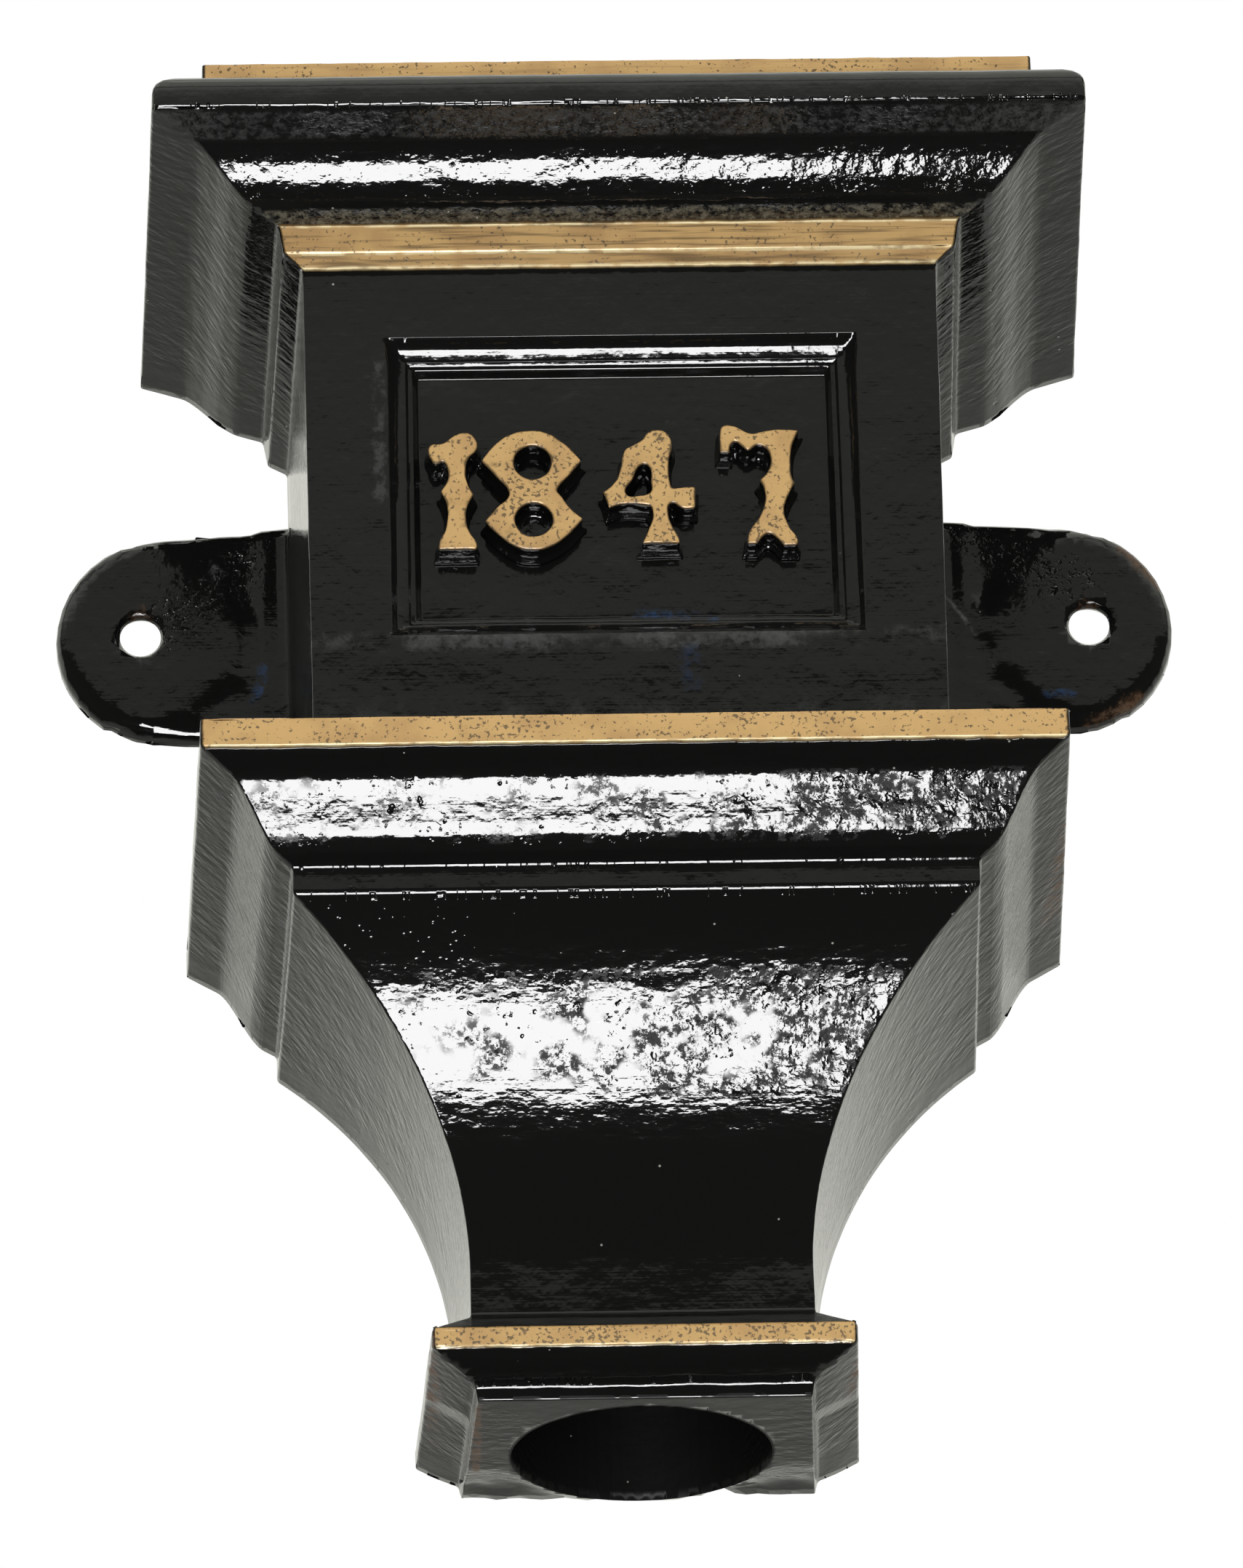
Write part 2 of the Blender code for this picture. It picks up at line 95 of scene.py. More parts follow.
OUTLET_MIDDLE = -0.0405
OUTLET_BORE = 0.0385
OUTLET_RIM_FADE = 0.006
OUTLET_NOTCH_MIDDLE = 0.0240
OUTLET_NOTCH_HALF_WIDTH = 0.0050
OUTLET_NOTCH_DEPTH = 0.0030
EAR_ROOT = 0.112
EAR_HALF_HEIGHT = 0.040
EAR_FRONT = -0.011
EAR_RIM = 0.0315
EAR_CHIP_SIZE = 0.011
EAR_CHIP_DEPTH = 0.0016
SCREW_HOLE = 0.1473
PANEL_HALF_WIDTH = 0.0703
PANEL_HALF_HEIGHT = 0.0493
PANEL_MIDDLE = -0.0132
# Each corner of the frame's section: its inset from the outline, and its depth behind the front.
PANEL_FRAME = (
    (0.0, 0.0), (0.0026, 0.0032), (0.0054, 0.0050), (0.0058, 0.0050), (0.0064, 0.0061), (0.0079, 0.0062),
    (0.0094, 0.0089), (0.0099, 0.0089))
PANEL_FRAME_CUT = 0.0018
PANEL_CUT_MARGIN = 0.0010
BODY_FRONT = -0.13111
BODY_LEAN = -0.01276
RIM_SLACK = 0.0006


def select_only(piece):
    """Make one object the only one that the operators act on."""
    bpy.ops.object.select_all(action="DESELECT")
    piece.select_set(True)
    bpy.context.view_layer.objects.active = piece


def apply_modifier(piece, kind, **settings):
    """Add a modifier with its settings and apply it to the mesh."""
    select_only(piece)
    modifier = piece.modifiers.new(kind.lower(), kind)
    for name, value in settings.items():
        setattr(modifier, name, value)
    bpy.ops.object.modifier_apply(modifier=modifier.name)


def roughen(piece, size, depth, middle=1.0, direction="NORMAL", group="", detail=2):
    """Move the surface by up to a depth, by a soft noise of one size: inwards where nothing else is said."""
    texture = bpy.data.textures.new("cast_surface", "CLOUDS")
    texture.noise_scale = size
    texture.noise_depth = detail
    apply_modifier(
        piece, "DISPLACE", texture=texture, texture_coords="LOCAL", direction=direction,
        mid_level=middle, strength=depth, vertex_group=group)
    bpy.data.textures.remove(texture)


def weight_group(piece, name, weight):
    """Give each vertex its weight in a new group, from a function of its place."""
    group = piece.vertex_groups.new(name=name)
    for vertex in piece.data.vertices:
        share = weight(vertex.co)
        if share > 0:
            group.add([vertex.index], min(share, 1.0), "REPLACE")


def on_upstand_top(place):
    """1 on the upstand's top face."""
    return float(place.z > UPSTAND_TOP - RIM_SLACK)


def below_upstand(place):
    """1 below the upstand, and a small share on the upstand itself, which stays nearly even."""
    return 1.0 if place.z < UPSTAND_FOOT else UPSTAND_SHARE


def on_outlet_back(place):
    """From 0 to 1 towards the back of the outlet's bottom face, fading upwards."""
    low = 1.0 - (place.z - OUTLET_FACE) / OUTLET_WEAR_FADE
    back = (place.y - OUTLET_WEAR_START) / (OUTLET_WEAR_FULL - OUTLET_WEAR_START)
    outside = (math.hypot(place.x, place.y - OUTLET_MIDDLE) - OUTLET_BORE) / OUTLET_RIM_FADE
    return max(low, 0.0) * min(max(back, 0.0), 1.0) * min(max(outside, 0.0), 1.0)


def in_outlet_notch(place):
    """From 0 to 1 towards the middle of a notch in the outlet's back edge."""
    side = 1.0 - abs(place.x - OUTLET_NOTCH_MIDDLE) / OUTLET_NOTCH_HALF_WIDTH
    return on_outlet_back(place) * max(side, 0.0)


def on_ear_rim(place):
    """1 on the rims of the ears, away from their faces' middles."""
    out = math.hypot(abs(place.x) - SCREW_HOLE, place.z)
    on_ear = abs(place.x) > EAR_ROOT and abs(place.z) < EAR_HALF_HEIGHT and place.y > EAR_FRONT
    return float(on_ear and out > EAR_RIM)


def from_panel_outline(place):
    """A place's inset from the sunk panel's outline, and its depth behind the body's leaning front."""
    inset = min(PANEL_HALF_WIDTH - abs(place.x), PANEL_HALF_HEIGHT - abs(place.z - PANEL_MIDDLE))
    return inset, place.y - BODY_FRONT - BODY_LEAN * place.z


def on_panel_frame(place):
    """How far the frame round the sunk panel is cut back, as a share of the deepest cut."""
    inset, depth = from_panel_outline(place)
    if depth > PANEL_FRAME[-1][1]:
        return 0.0
    for (start, high_end), (end, low_end) in zip(PANEL_FRAME, PANEL_FRAME[1:]):
        if start <= inset < end:
            wanted = high_end + (low_end - high_end) * (inset - start) / (end - start)
            return (wanted - depth) / PANEL_FRAME_CUT
    return 0.0


def beside_panel_frame(place):
    """Whether a place is on the front, within the frame round the sunk panel or just beside it."""
    inset, depth = from_panel_outline(place)
    return -PANEL_CUT_MARGIN < inset < PANEL_FRAME[-1][0] + PANEL_CUT_MARGIN and depth < PANEL_FRAME[-1][1]


def cut_across(axis, distance):
    """Cut every face that shows in edit mode by a plane across one axis."""
    place = [distance if axis == other else 0.0 for other in range(3)]
    normal = [1.0 if axis == other else 0.0 for other in range(3)]
    bpy.ops.mesh.select_all(action="SELECT")
    bpy.ops.mesh.bisect(plane_co=place, plane_no=normal)


node_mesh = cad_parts["hopper_casting"].data.copy()
casting = bpy.data.objects.new("casting_skin", node_mesh)
bpy.context.collection.objects.link(casting)
low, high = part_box("hopper_casting")
select_only(casting)
bpy.ops.object.mode_set(mode="EDIT")
bpy.ops.mesh.select_all(action="SELECT")
bpy.ops.mesh.remove_doubles(threshold=CASTING_MERGE)
bpy.ops.mesh.dissolve_limited(angle_limit=CASTING_FLAT_ANGLE)
# Cuts every few millimetres give the whole skin vertices for its unevenness.
for axis in range(3):
    cuts = int((high[axis] - low[axis]) / CASTING_CELL)
    for cut in range(1, cuts + 1):
        cut_across(axis, low[axis] + (high[axis] - low[axis]) * cut / (cuts + 1))
# The frame round the panel gets finer cuts, with the rest of the skin hidden.
bpy.ops.mesh.select_mode(type="FACE")
bpy.ops.object.mode_set(mode="OBJECT")
for face in casting.data.polygons:
    face.select = beside_panel_frame(face.center)
bpy.ops.object.mode_set(mode="EDIT")
bpy.ops.mesh.hide(unselected=True)
for (start, _), (end, _) in zip(PANEL_FRAME, PANEL_FRAME[1:]):
    for inset in (start, (start + end) / 2):
        for side in (-1.0, 1.0):
            cut_across(0, side * (PANEL_HALF_WIDTH - inset))
            cut_across(2, PANEL_MIDDLE + side * (PANEL_HALF_HEIGHT - inset))
bpy.ops.mesh.reveal()
bpy.ops.mesh.select_mode(type="VERT")
bpy.ops.mesh.select_all(action="SELECT")
bpy.ops.mesh.remove_doubles(threshold=CASTING_MERGE)
bpy.ops.object.mode_set(mode="OBJECT")
for name, weight in (
        ("below_upstand", below_upstand), ("upstand_top", on_upstand_top), ("outlet_back", on_outlet_back),
        ("outlet_notch", in_outlet_notch), ("ear_rim", on_ear_rim), ("panel_frame", on_panel_frame)):
    weight_group(casting, name, weight)
apply_modifier(
    casting, "DISPLACE", direction="Y", strength=PANEL_FRAME_CUT, mid_level=0.0, vertex_group="panel_frame")
apply_modifier(
    casting, "DISPLACE", direction="Z", strength=OUTLET_NOTCH_DEPTH, mid_level=0.0,
    vertex_group="outlet_notch")
roughen(casting, CAST_SWELL_SIZE, CAST_SWELL_DEPTH, group="below_upstand")
roughen(casting, CAST_LUMP_SIZE, CAST_LUMP_DEPTH, group="below_upstand")
roughen(casting, EAR_CHIP_SIZE, EAR_CHIP_DEPTH, group="ear_rim", detail=4)
roughen(casting, UPSTAND_WEAR_SIZE, UPSTAND_WEAR_DEPTH, direction="Z", group="upstand_top")
roughen(
    casting, OUTLET_WEAR_SIZE, OUTLET_WEAR_DEPTH, middle=0.0, direction="Z", group="outlet_back",
    detail=4)
bpy.ops.object.shade_smooth()
apply_modifier(casting, "WEIGHTED_NORMAL", weight=50)
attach(casting, "root")
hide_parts("hopper_casting")


def add_node(tree, kind, sockets, **settings):
    """Add one shader node. Each socket takes a value or another node's output."""
    made = tree.nodes.new(kind)
    for name, value in settings.items():
        setattr(made, name, value)
    for socket, value in sockets.items():
        if isinstance(value, bpy.types.NodeSocket):
            tree.links.new(value, made.inputs[socket])
        else:
            made.inputs[socket].default_value = value
    return made


def reckon(tree, operation, *values):
    """One Math node on values or outputs."""
    return add_node(tree, "ShaderNodeMath", dict(enumerate(values)), operation=operation).outputs[0]


def times(tree, first, second):
    """The product of two values or outputs."""
    return reckon(tree, "MULTIPLY", first, second)


def ramp(tree, value, start, end, low=0.0, high=1.0):
    """A smooth change from one level to another as a value passes from a start to an end."""
    return add_node(tree, "ShaderNodeMapRange", {
        "Value": value, "From Min": start, "From Max": end, "To Min": low, "To Max": high,
    }, interpolation_type="SMOOTHSTEP").outputs["Result"]


def noise(tree, place, scale, detail=2.0, roughness=0.5):
    """Soft noise with a number of grains to the metre. A triple of scales stretches it."""
    if isinstance(scale, tuple):
        place = add_node(tree, "ShaderNodeMapping", {"Vector": place, "Scale": scale}).outputs["Vector"]
        scale = 1.0
    return add_node(tree, "ShaderNodeTexNoise", {
        "Vector": place, "Scale": scale, "Detail": detail, "Roughness": roughness,
    }).outputs["Fac"]


def blend_colour(tree, share, first, second):
    """One colour over another by a share."""
    mixed = add_node(tree, "ShaderNodeMix", {0: share, 6: first, 7: second}, data_type="RGBA")
    return mixed.outputs[2]


def start_group(name, inputs, outputs):
    """A shader node group with its inputs and outputs, ready to be filled."""
    tree = bpy.data.node_groups.new(name, "ShaderNodeTree")
    for label, kind in inputs.items():
        tree.interface.new_socket(name=label, in_out="INPUT", socket_type="NodeSocket" + kind)
    for label, kind in outputs.items():
        tree.interface.new_socket(name=label, in_out="OUTPUT", socket_type="NodeSocket" + kind)
    return tree, tree.nodes.new("NodeGroupInput").outputs, tree.nodes.new("NodeGroupOutput").inputs


def use_group(tree, group, sockets):
    """Place a node group in a material."""
    made = tree.nodes.new("ShaderNodeGroup")
    made.node_tree = group
    for socket, value in sockets.items():
        if isinstance(value, bpy.types.NodeSocket):
            tree.links.new(value, made.inputs[socket])
        else:
            made.inputs[socket].default_value = value
    return made.outputs


# Cast iron under thick gloss paint: low lumps of the mould and the brushed paint's fine unevenness,
# round specks and hollows where the sand was coarse, blotches where the paint ran over them, thin
# scratches across the front, and brush hairs up the returns. Its height is in millimetres.
HAIR_LEAN = math.radians(-58)
PIT_CROWDING = 0.16
uneven_cast, given, made = start_group(
    "uneven_cast",
    {"Place": "Vector", "Pits": "Float", "Blotches": "Float", "Scratches": "Float", "Hairs": "Float"},
    {"Height": "Float"})
lumps = noise(uneven_cast, given["Place"], 110.0)
peel = noise(uneven_cast, given["Place"], 520.0, 3.0)
crowding = reckon(uneven_cast, "MULTIPLY_ADD", given["Pits"], PIT_CROWDING, -PIT_CROWDING)
specks = ramp(uneven_cast, reckon(
    uneven_cast, "ADD", noise(uneven_cast, given["Place"], 560.0, 2.0, 0.6), crowding), 0.50, 0.72)
hollows = ramp(uneven_cast, reckon(
    uneven_cast, "ADD", noise(uneven_cast, given["Place"], 260.0, 2.0), crowding), 0.53, 0.75)
lines = noise(uneven_cast, given["Place"], (30.0, 30.0, 1300.0), 2.0)
leaning = add_node(
    uneven_cast, "ShaderNodeVectorRotate", {"Vector": given["Place"], "Angle": HAIR_LEAN},
    rotation_type="X_AXIS").outputs["Vector"]
hairs = noise(uneven_cast, leaning, (150.0, 560.0, 150.0), 3.0)
blotches = noise(uneven_cast, given["Place"], 310.0, 2.5)
ripples = noise(uneven_cast, given["Place"], 230.0, 2.0)
height = times(uneven_cast, lumps, 0.10)
for part, depth in ((peel, 0.030), (ripples, 0.11), (specks, -0.22), (hollows, -0.36)):
    height = reckon(uneven_cast, "MULTIPLY_ADD", part, depth, height)
for part, depth, amount in (
        (lines, 0.020, "Scratches"), (hairs, 0.330, "Hairs"), (blotches, 0.280, "Blotches")):
    part = reckon(uneven_cast, "MULTIPLY_ADD", part, depth, -depth / 2)
    height = reckon(uneven_cast, "MULTIPLY_ADD", part, given[amount], height)
uneven_cast.links.new(height, made["Height"])

# Gilt paint brushed on by hand: an old gold with brown specks where the black shows through.
# Streaks run along the moulding, and the grain is fine. Its height is in millimetres.
GILT_PALE = (0.60, 0.375, 0.150, 1.0)
GILT_DEEP = (0.50, 0.300, 0.120, 1.0)
GILT_SPECK = (0.075, 0.045, 0.016, 1.0)
STREAK_SHARE = 0.62
SPECK_SHARE = 0.80
GRAIN_HEIGHT = 0.035
gilt_paint, given, made = start_group(
    "gilt_paint", {"Place": "Vector", "Streaks": "Float", "Specks": "Float"},
    {"Color": "Color", "Roughness": "Float", "Height": "Float"})
cloudy = ramp(gilt_paint, noise(gilt_paint, given["Place"], 70.0, 3.0), 0.42, 0.68)
crowded = ramp(gilt_paint, noise(gilt_paint, given["Place"], 60.0), 0.38, 0.64, -0.03, 0.04)
crowded = reckon(gilt_paint, "ADD", crowded, given["Specks"])
grain = reckon(gilt_paint, "ADD", noise(gilt_paint, given["Place"], 760.0, 2.0, 0.6), crowded)
speckle = ramp(gilt_paint, grain, 0.60, 0.68)
streak = ramp(gilt_paint, noise(gilt_paint, given["Place"], (30.0, 30.0, 900.0), 3.0), 0.47, 0.66)
streak = times(gilt_paint, streak, given["Streaks"])
colour = blend_colour(gilt_paint, cloudy, GILT_PALE, GILT_DEEP)
colour = blend_colour(gilt_paint, times(gilt_paint, streak, STREAK_SHARE), colour, GILT_SPECK)
colour = blend_colour(gilt_paint, times(gilt_paint, speckle, SPECK_SHARE), colour, GILT_SPECK)
gilt_paint.links.new(colour, made["Color"])
gilt_paint.links.new(ramp(gilt_paint, speckle, 0.0, 1.0, 0.36, 0.55), made["Roughness"])
gilt_paint.links.new(times(gilt_paint, grain, GRAIN_HEIGHT), made["Height"])


def vector_of(tree, operation, first, second):
    """One Vector Math node on two places."""
    return add_node(tree, "ShaderNodeVectorMath", {0: first, 1: second}, operation=operation).outputs


# A rubbed, stained or mottled place in the paint, along a short line, or round a point where both
# of its ends are the same. Its edge is ragged.
worn_patch, given, made = start_group(
    "worn_patch", {"Place": "Vector", "Start": "Vector", "End": "Vector", "Width": "Float"},
    {"Mask": "Float"})
run = vector_of(worn_patch, "SUBTRACT", given["End"], given["Start"])[0]
reach = vector_of(worn_patch, "SUBTRACT", given["Place"], given["Start"])[0]
along = reckon(
    worn_patch, "DIVIDE", vector_of(worn_patch, "DOT_PRODUCT", reach, run)[1],
    vector_of(worn_patch, "DOT_PRODUCT", run, run)[1])
along = add_node(worn_patch, "ShaderNodeClamp", {"Value": along}).outputs[0]
nearest = add_node(
    worn_patch, "ShaderNodeVectorMath", {0: run, "Scale": along}, operation="SCALE").outputs[0]
distance = vector_of(worn_patch, "DISTANCE", reach, nearest)[1]
ragged = reckon(
    worn_patch, "MULTIPLY_ADD", noise(worn_patch, given["Place"], 420.0, 3.0, 0.7), 1.8, -0.9)
share = reckon(worn_patch, "ADD", reckon(worn_patch, "DIVIDE", distance, given["Width"]), ragged)
worn_patch.links.new(ramp(worn_patch, share, 0.2, 1.0, 1.0, 0.0), made["Mask"])

# The black coat: thick gloss paint with a thin dusty haze low on the front, blue and whitish scuffs
# on the ears and the panel, and rust where the coat is thin. The gilt lies over it on the front faces
# of the upstand, the necking, the lower band and the collar's band, with a painted highlight of paler gilt
# along its arrises.
BLACK = (0.0055, 0.0055, 0.0057, 1.0)
BLACK_ROUGHNESS = 0.07
PAINT_IOR = 1.6
MILLIMETRE = 0.001
DUST = (0.060, 0.062, 0.066, 1.0)
RUST = (0.115, 0.052, 0.018, 1.0)
RUST_SHARE = 0.75
RUST_ROUGHNESS = 0.40
OLIVE_DUST = (0.105, 0.096, 0.074, 1.0)
BLUE_SCUFF = (0.012, 0.045, 0.130, 1.0)
WHITE_SCUFF = (0.110, 0.112, 0.116, 1.0)
# Below, a pair is the two places between which a mask changes, and four places are where it rises
# and falls again. The front ends at mitres of 45 degrees, and a place on it lies further from the
# wall than from the middle by at least FRONT_SET.
FRONT_SET = 0.0366
MITRE_EDGE = 0.0010
RETURNS = (-0.014, -0.020)
BACK_EDGE = (-0.0010, -0.0030)
GILT_MARGIN = 0.0006
GILT_EDGE = 0.0004
GILT_WAVE = 0.0012
GILT_WAVE_SHARE = 0.4
GILT_FACE_EDGE = 0.0010
GILT_METALLIC = 0.15
# GILT_GLINT is a painted highlight: a paler gilt laid along the bands' lower arrises where the light catches
# them.
GILT_GLINT = (0.92, 0.76, 0.46, 1.0)
GILT_GLINT_REACH = (0.0002, 0.0006)
GILT_ARRISES = (-0.2743, -0.1132, 0.0595, 0.0622, 0.0703)
# Each band has its bottom and top, the place that its face stands in front of, its streaks and specks.
GILT_BANDS = (
    (-0.2744, -0.2682, -0.0880, 0.0, 0.075),
    (-0.1135, -0.1040, -0.1500, 0.0, 0.030),
    (0.0592, 0.0707, -0.1290, 1.0, -0.030),
    (0.1043, 0.1200, -0.1575, 0.3, -0.010),
)
# The haze lies in a band at the panel's foot and again lower on the front.
HAZE_BAND = (-0.0700, -0.0640, -0.0630, -0.0600)
HAZE_DROP = (-0.0800, -0.0940)
HAZE_LIMITS = (-0.1000, -0.0980, -0.0600, -0.0500)
HAZE_SHARE = 0.45
HAZE_ROUGHNESS = 0.20
DUST_EDGE = 0.0003
DUST_WEIGHT = 1.5
# Each ledge has its bottom and top, how much dust lies on it, and the dust's colour.
DUSTY_LEDGES = (
    (0.0708, 0.0727, 1.00, OLIVE_DUST),
    (0.0868, 0.0902, 0.50, DUST),
)
# Each scuff has its two ends, its width, its colour and its strength.
SCUFFS = (
    ((-0.1093, -0.0078, -0.0119), (-0.1120, -0.0078, -0.0229), 0.0022, BLUE_SCUFF, 0.7),
    ((0.1034, -0.0082, 0.0096), (0.1085, -0.0078, 0.0021), 0.0010, WHITE_SCUFF, 0.7),
    ((0.1085, -0.0078, 0.0021), (0.1149, -0.0078, -0.0086), 0.0011, WHITE_SCUFF, 0.7),
    ((0.1149, -0.0078, -0.0086), (0.1197, -0.0078, -0.0222), 0.0009, WHITE_SCUFF, 0.7),
    ((0.1331, -0.0078, -0.0239), (0.1412, -0.0078, -0.0240), 0.0020, BLUE_SCUFF, 0.6),
    ((0.0040, -0.1220, -0.0525), (0.0250, -0.1240, -0.0540), 0.0030, BLUE_SCUFF, 0.6),
    ((0.0180, -0.1300, -0.0680), (0.0180, -0.1300, -0.0780), 0.0040, BLUE_SCUFF, 0.2),
    ((-0.0723, -0.1310, 0.0270), (-0.0728, -0.1304, -0.0167), 0.0026, DUST, 0.5),
    ((-0.0640, -0.1300, -0.0645), (-0.0240, -0.1300, -0.0650), 0.0040, DUST, 0.6),
    ((0.0020, -0.1300, -0.0650), (0.0500, -0.1300, -0.0650), 0.0036, DUST, 0.6),
)
# Each patch of rust has its two ends and its width, and so have the mottled and the pimpled places.
RUST_PATCHES = (
    ((-0.1700, -0.030, 0.0930), (-0.1700, -0.016, 0.0930), 0.006),
    ((0.1700, -0.006, 0.0140), (0.1570, -0.006, 0.0300), 0.0035),
    ((0.1620, -0.006, -0.0262), (0.1470, -0.006, -0.0345), 0.0040),
    ((0.1310, -0.100, -0.1120), (0.1260, -0.040, -0.1120), 0.006),
    ((-0.0620, -0.095, -0.2720), (-0.0620, -0.020, -0.2800), 0.004),
    ((0.0620, -0.095, -0.2680), (0.0620, -0.050, -0.2800), 0.004),
    ((-0.0484, -0.080, -0.2864), (-0.0484, -0.010, -0.2864), 0.002),
    ((-0.1473, -0.004, 0.0070), (-0.1473, -0.004, 0.0070), 0.005),
    ((0.1473, -0.004, 0.0070), (0.1473, -0.004, 0.0070), 0.005),
)
MOTTLED_EARS = (
    ((-0.1390, -0.008, 0.0030), (-0.1120, -0.008, 0.0260), 0.016),
    ((0.1120, -0.008, 0.0300), (0.1420, -0.008, 0.0140), 0.016),
)
PIMPLED = (
    ((-0.0840, -0.1295, -0.1545), (-0.0560, -0.1240, -0.1590), 0.014),
)
PIMPLE_SCALE = 430.0
PIMPLE_REACH = 0.32
PIMPLE_HEIGHT = 0.16
ZONE_EDGE = 0.0010
# Each pitted zone has its bottom and top, its left and right end, and its pits and then its blotches
# at those two ends. No pits at all is a number so low that none reaches the surface.
NO_PITS = -1.4
PITS_BESIDE_PATCHES = -1.2
MOTTLED_PITS = 2.0
RUSTY_PITS = 1.8
RETURN_PITS = -0.5
PITTED = (
    (-0.1366, -0.1185, -0.070, 0.110, 0.05, 0.30, 0.50, 0.90),
    (-0.1970, -0.1650, -0.070, 0.060, 0.00, 0.30, 0.55, 1.35),
    (0.0740, 0.0850, -0.020, 0.110, 0.00, 0.30, 0.70, 1.05),
)
# Each rumpled zone has its bottom and top, and the height of its rumples in millimetres.
RUMPLED = (
    (-0.1380, -0.1160, 0.10),
    (-0.2080, -0.1600, 0.22),
    (0.0735, 0.0832, 0.26),
)
WRINKLED_ROLL = (0.0858, 0.0868, 0.0900, 0.0904)
WRINKLED_LEDGE = (0.0704, 0.0707, 0.0724, 0.0732)
WRINKLE_HEIGHT = 0.20
# Each sag of the paint has its bottom and top, and how far it stands out in millimetres.
SAG_WAVE = 0.0011
SAGS = (
    (-0.1385, -0.1325, 1.05),
    (-0.1760, -0.1560, 0.25),
    (0.0752, 0.0784, 0.16),
    (0.0815, 0.0850, 0.22),
    (0.0911, 0.0918, 0.34),
)
COLLAR_LIP = (-0.2827, -0.2798, -0.2793, -0.2710)
COLLAR_LIP_FRONT = (-0.050, -0.060)
COLLAR_LIP_HEIGHT = 1.20
CHIPPED_ARRISES = (-0.2809, -0.1490, -0.1405, 0.0914)
CHIP_SPACING = (240.0, 40.0, 40.0)
CHIP_SHARE = 0.030
CHIP_REACH = (0.0005, 0.0010)
CHIP_DEPTH = 0.35
# The coat is dull where it is blotched, on broken stretches of the outlet's front arris and in the bore.
DULL_TOP = (0.0500, 0.0400)
DULL_ROUGHNESS = 0.40
DULL_SPECULAR_LOSS = 0.40
OUTLET_FRONT = (-0.0842, -0.0848)
OUTLET_ARRIS = (-0.2848, -0.2852)
BORE_MARGIN = 0.0010
BORE_TOP = (-0.2500, -0.2600)
MOTE = (0.300, 0.300, 0.290, 1.0)
MOTE_SCALE = 120.0


def rise_and_fall(tree, value, start, full, still_full, end):
    """From 0 up to 1 and down again as a value passes four places in turn."""
    return times(tree, ramp(tree, value, start, full), ramp(tree, value, still_full, end, 1.0, 0.0))


def between(tree, value, bottom, top, edge):
    """1 where a value lies between a bottom and a top, which both have a soft edge."""
    return rise_and_fall(tree, value, bottom - edge, bottom + edge, top - edge, top + edge)


def beside(tree, value, middle, near, far):
    """1 where a value is near a middle, and 0 where it is far from it."""
    gap = reckon(tree, "ABSOLUTE", reckon(tree, "SUBTRACT", value, middle))
    return ramp(tree, gap, near, far, 1.0, 0.0)


def patch(tree, place, start, end, width):
    """The mask of one worn patch."""
    return use_group(tree, worn_patch, {"Place": place, "Start": start, "End": end, "Width": width})["Mask"]


def start_coat(name):
    """A new material for a coat, with its node tree and the place that its patterns read."""
    material = bpy.data.materials.new(name)
    material.use_nodes = True
    place = add_node(material.node_tree, "ShaderNodeTexCoord", {}).outputs["Object"]
    return material, material.node_tree, place


def finish_coat(piece, material, colour, roughness, gilded, height):
    """Link a coat's colour, roughness, gilt and height to its shader, and put it on a piece."""
    tree = material.node_tree
    shader = tree.nodes["Principled BSDF"]
    bump = add_node(tree, "ShaderNodeBump", {"Height": height, "Distance": MILLIMETRE, "Strength": 1.0})
    tree.links.new(colour, shader.inputs["Base Color"])
    tree.links.new(roughness, shader.inputs["Roughness"])
    tree.links.new(times(tree, gilded, GILT_METALLIC), shader.inputs["Metallic"])
    tree.links.new(bump.outputs["Normal"], shader.inputs["Normal"])
    shader.inputs["IOR"].default_value = PAINT_IOR
    piece.data.materials.clear()
    piece.data.materials.append(material)


coat, tree, place = start_coat("black_coat_with_gilt")
across, deep, up_down = add_node(tree, "ShaderNodeSeparateXYZ", {0: place}).outputs[:]
sideways = reckon(tree, "ABSOLUTE", across)
wave = noise(tree, place, 160.0, 3.0)
wave = reckon(tree, "MULTIPLY_ADD", wave, GILT_WAVE, -GILT_WAVE / 2)
margin = reckon(tree, "SUBTRACT", reckon(tree, "MULTIPLY_ADD", deep, -1.0, -FRONT_SET), sideways)
margin = reckon(tree, "ADD", margin, wave)
on_front = ramp(tree, margin, GILT_MARGIN - GILT_EDGE, GILT_MARGIN + GILT_EDGE)
facing = ramp(tree, margin, -MITRE_EDGE, 0.0)
returns = times(tree, ramp(tree, margin, 0.0, -MITRE_EDGE), ramp(tree, deep, *RETURNS))

hazy = reckon(tree, "ADD", rise_and_fall(tree, up_down, *HAZE_BAND), ramp(tree, up_down, *HAZE_DROP))
hazy = times(tree, hazy, ramp(tree, noise(tree, place, 130.0, 4.0, 0.7), 0.44, 0.66))
hazy = times(tree, hazy, rise_and_fall(tree, up_down, *HAZE_LIMITS))
hazy = times(tree, hazy, ramp(tree, deep, *BACK_EDGE))
colour = blend_colour(tree, times(tree, hazy, HAZE_SHARE), BLACK, DUST)
dusty = noise(tree, place, 420.0, 4.0, 0.7)
for bottom, top, amount, tint in DUSTY_LEDGES:
    zone = times(tree, between(tree, up_down, bottom, top, DUST_EDGE), facing)
    zone = times(tree, zone, ramp(tree, dusty, 0.40, 0.66, 0.0, amount))
    colour = blend_colour(tree, zone, colour, tint)
    hazy = reckon(tree, "MULTIPLY_ADD", zone, DUST_WEIGHT, hazy)
roughness = reckon(tree, "MULTIPLY_ADD", hazy, HAZE_ROUGHNESS, BLACK_ROUGHNESS)
wisps = ramp(tree, noise(tree, place, 230.0, 4.0, 0.7), 0.38, 0.62)
for start, end, width, tint, amount in SCUFFS:
    mask = times(tree, patch(tree, place, start, end, width), wisps)
    colour = blend_colour(tree, times(tree, mask, amount), colour, tint)
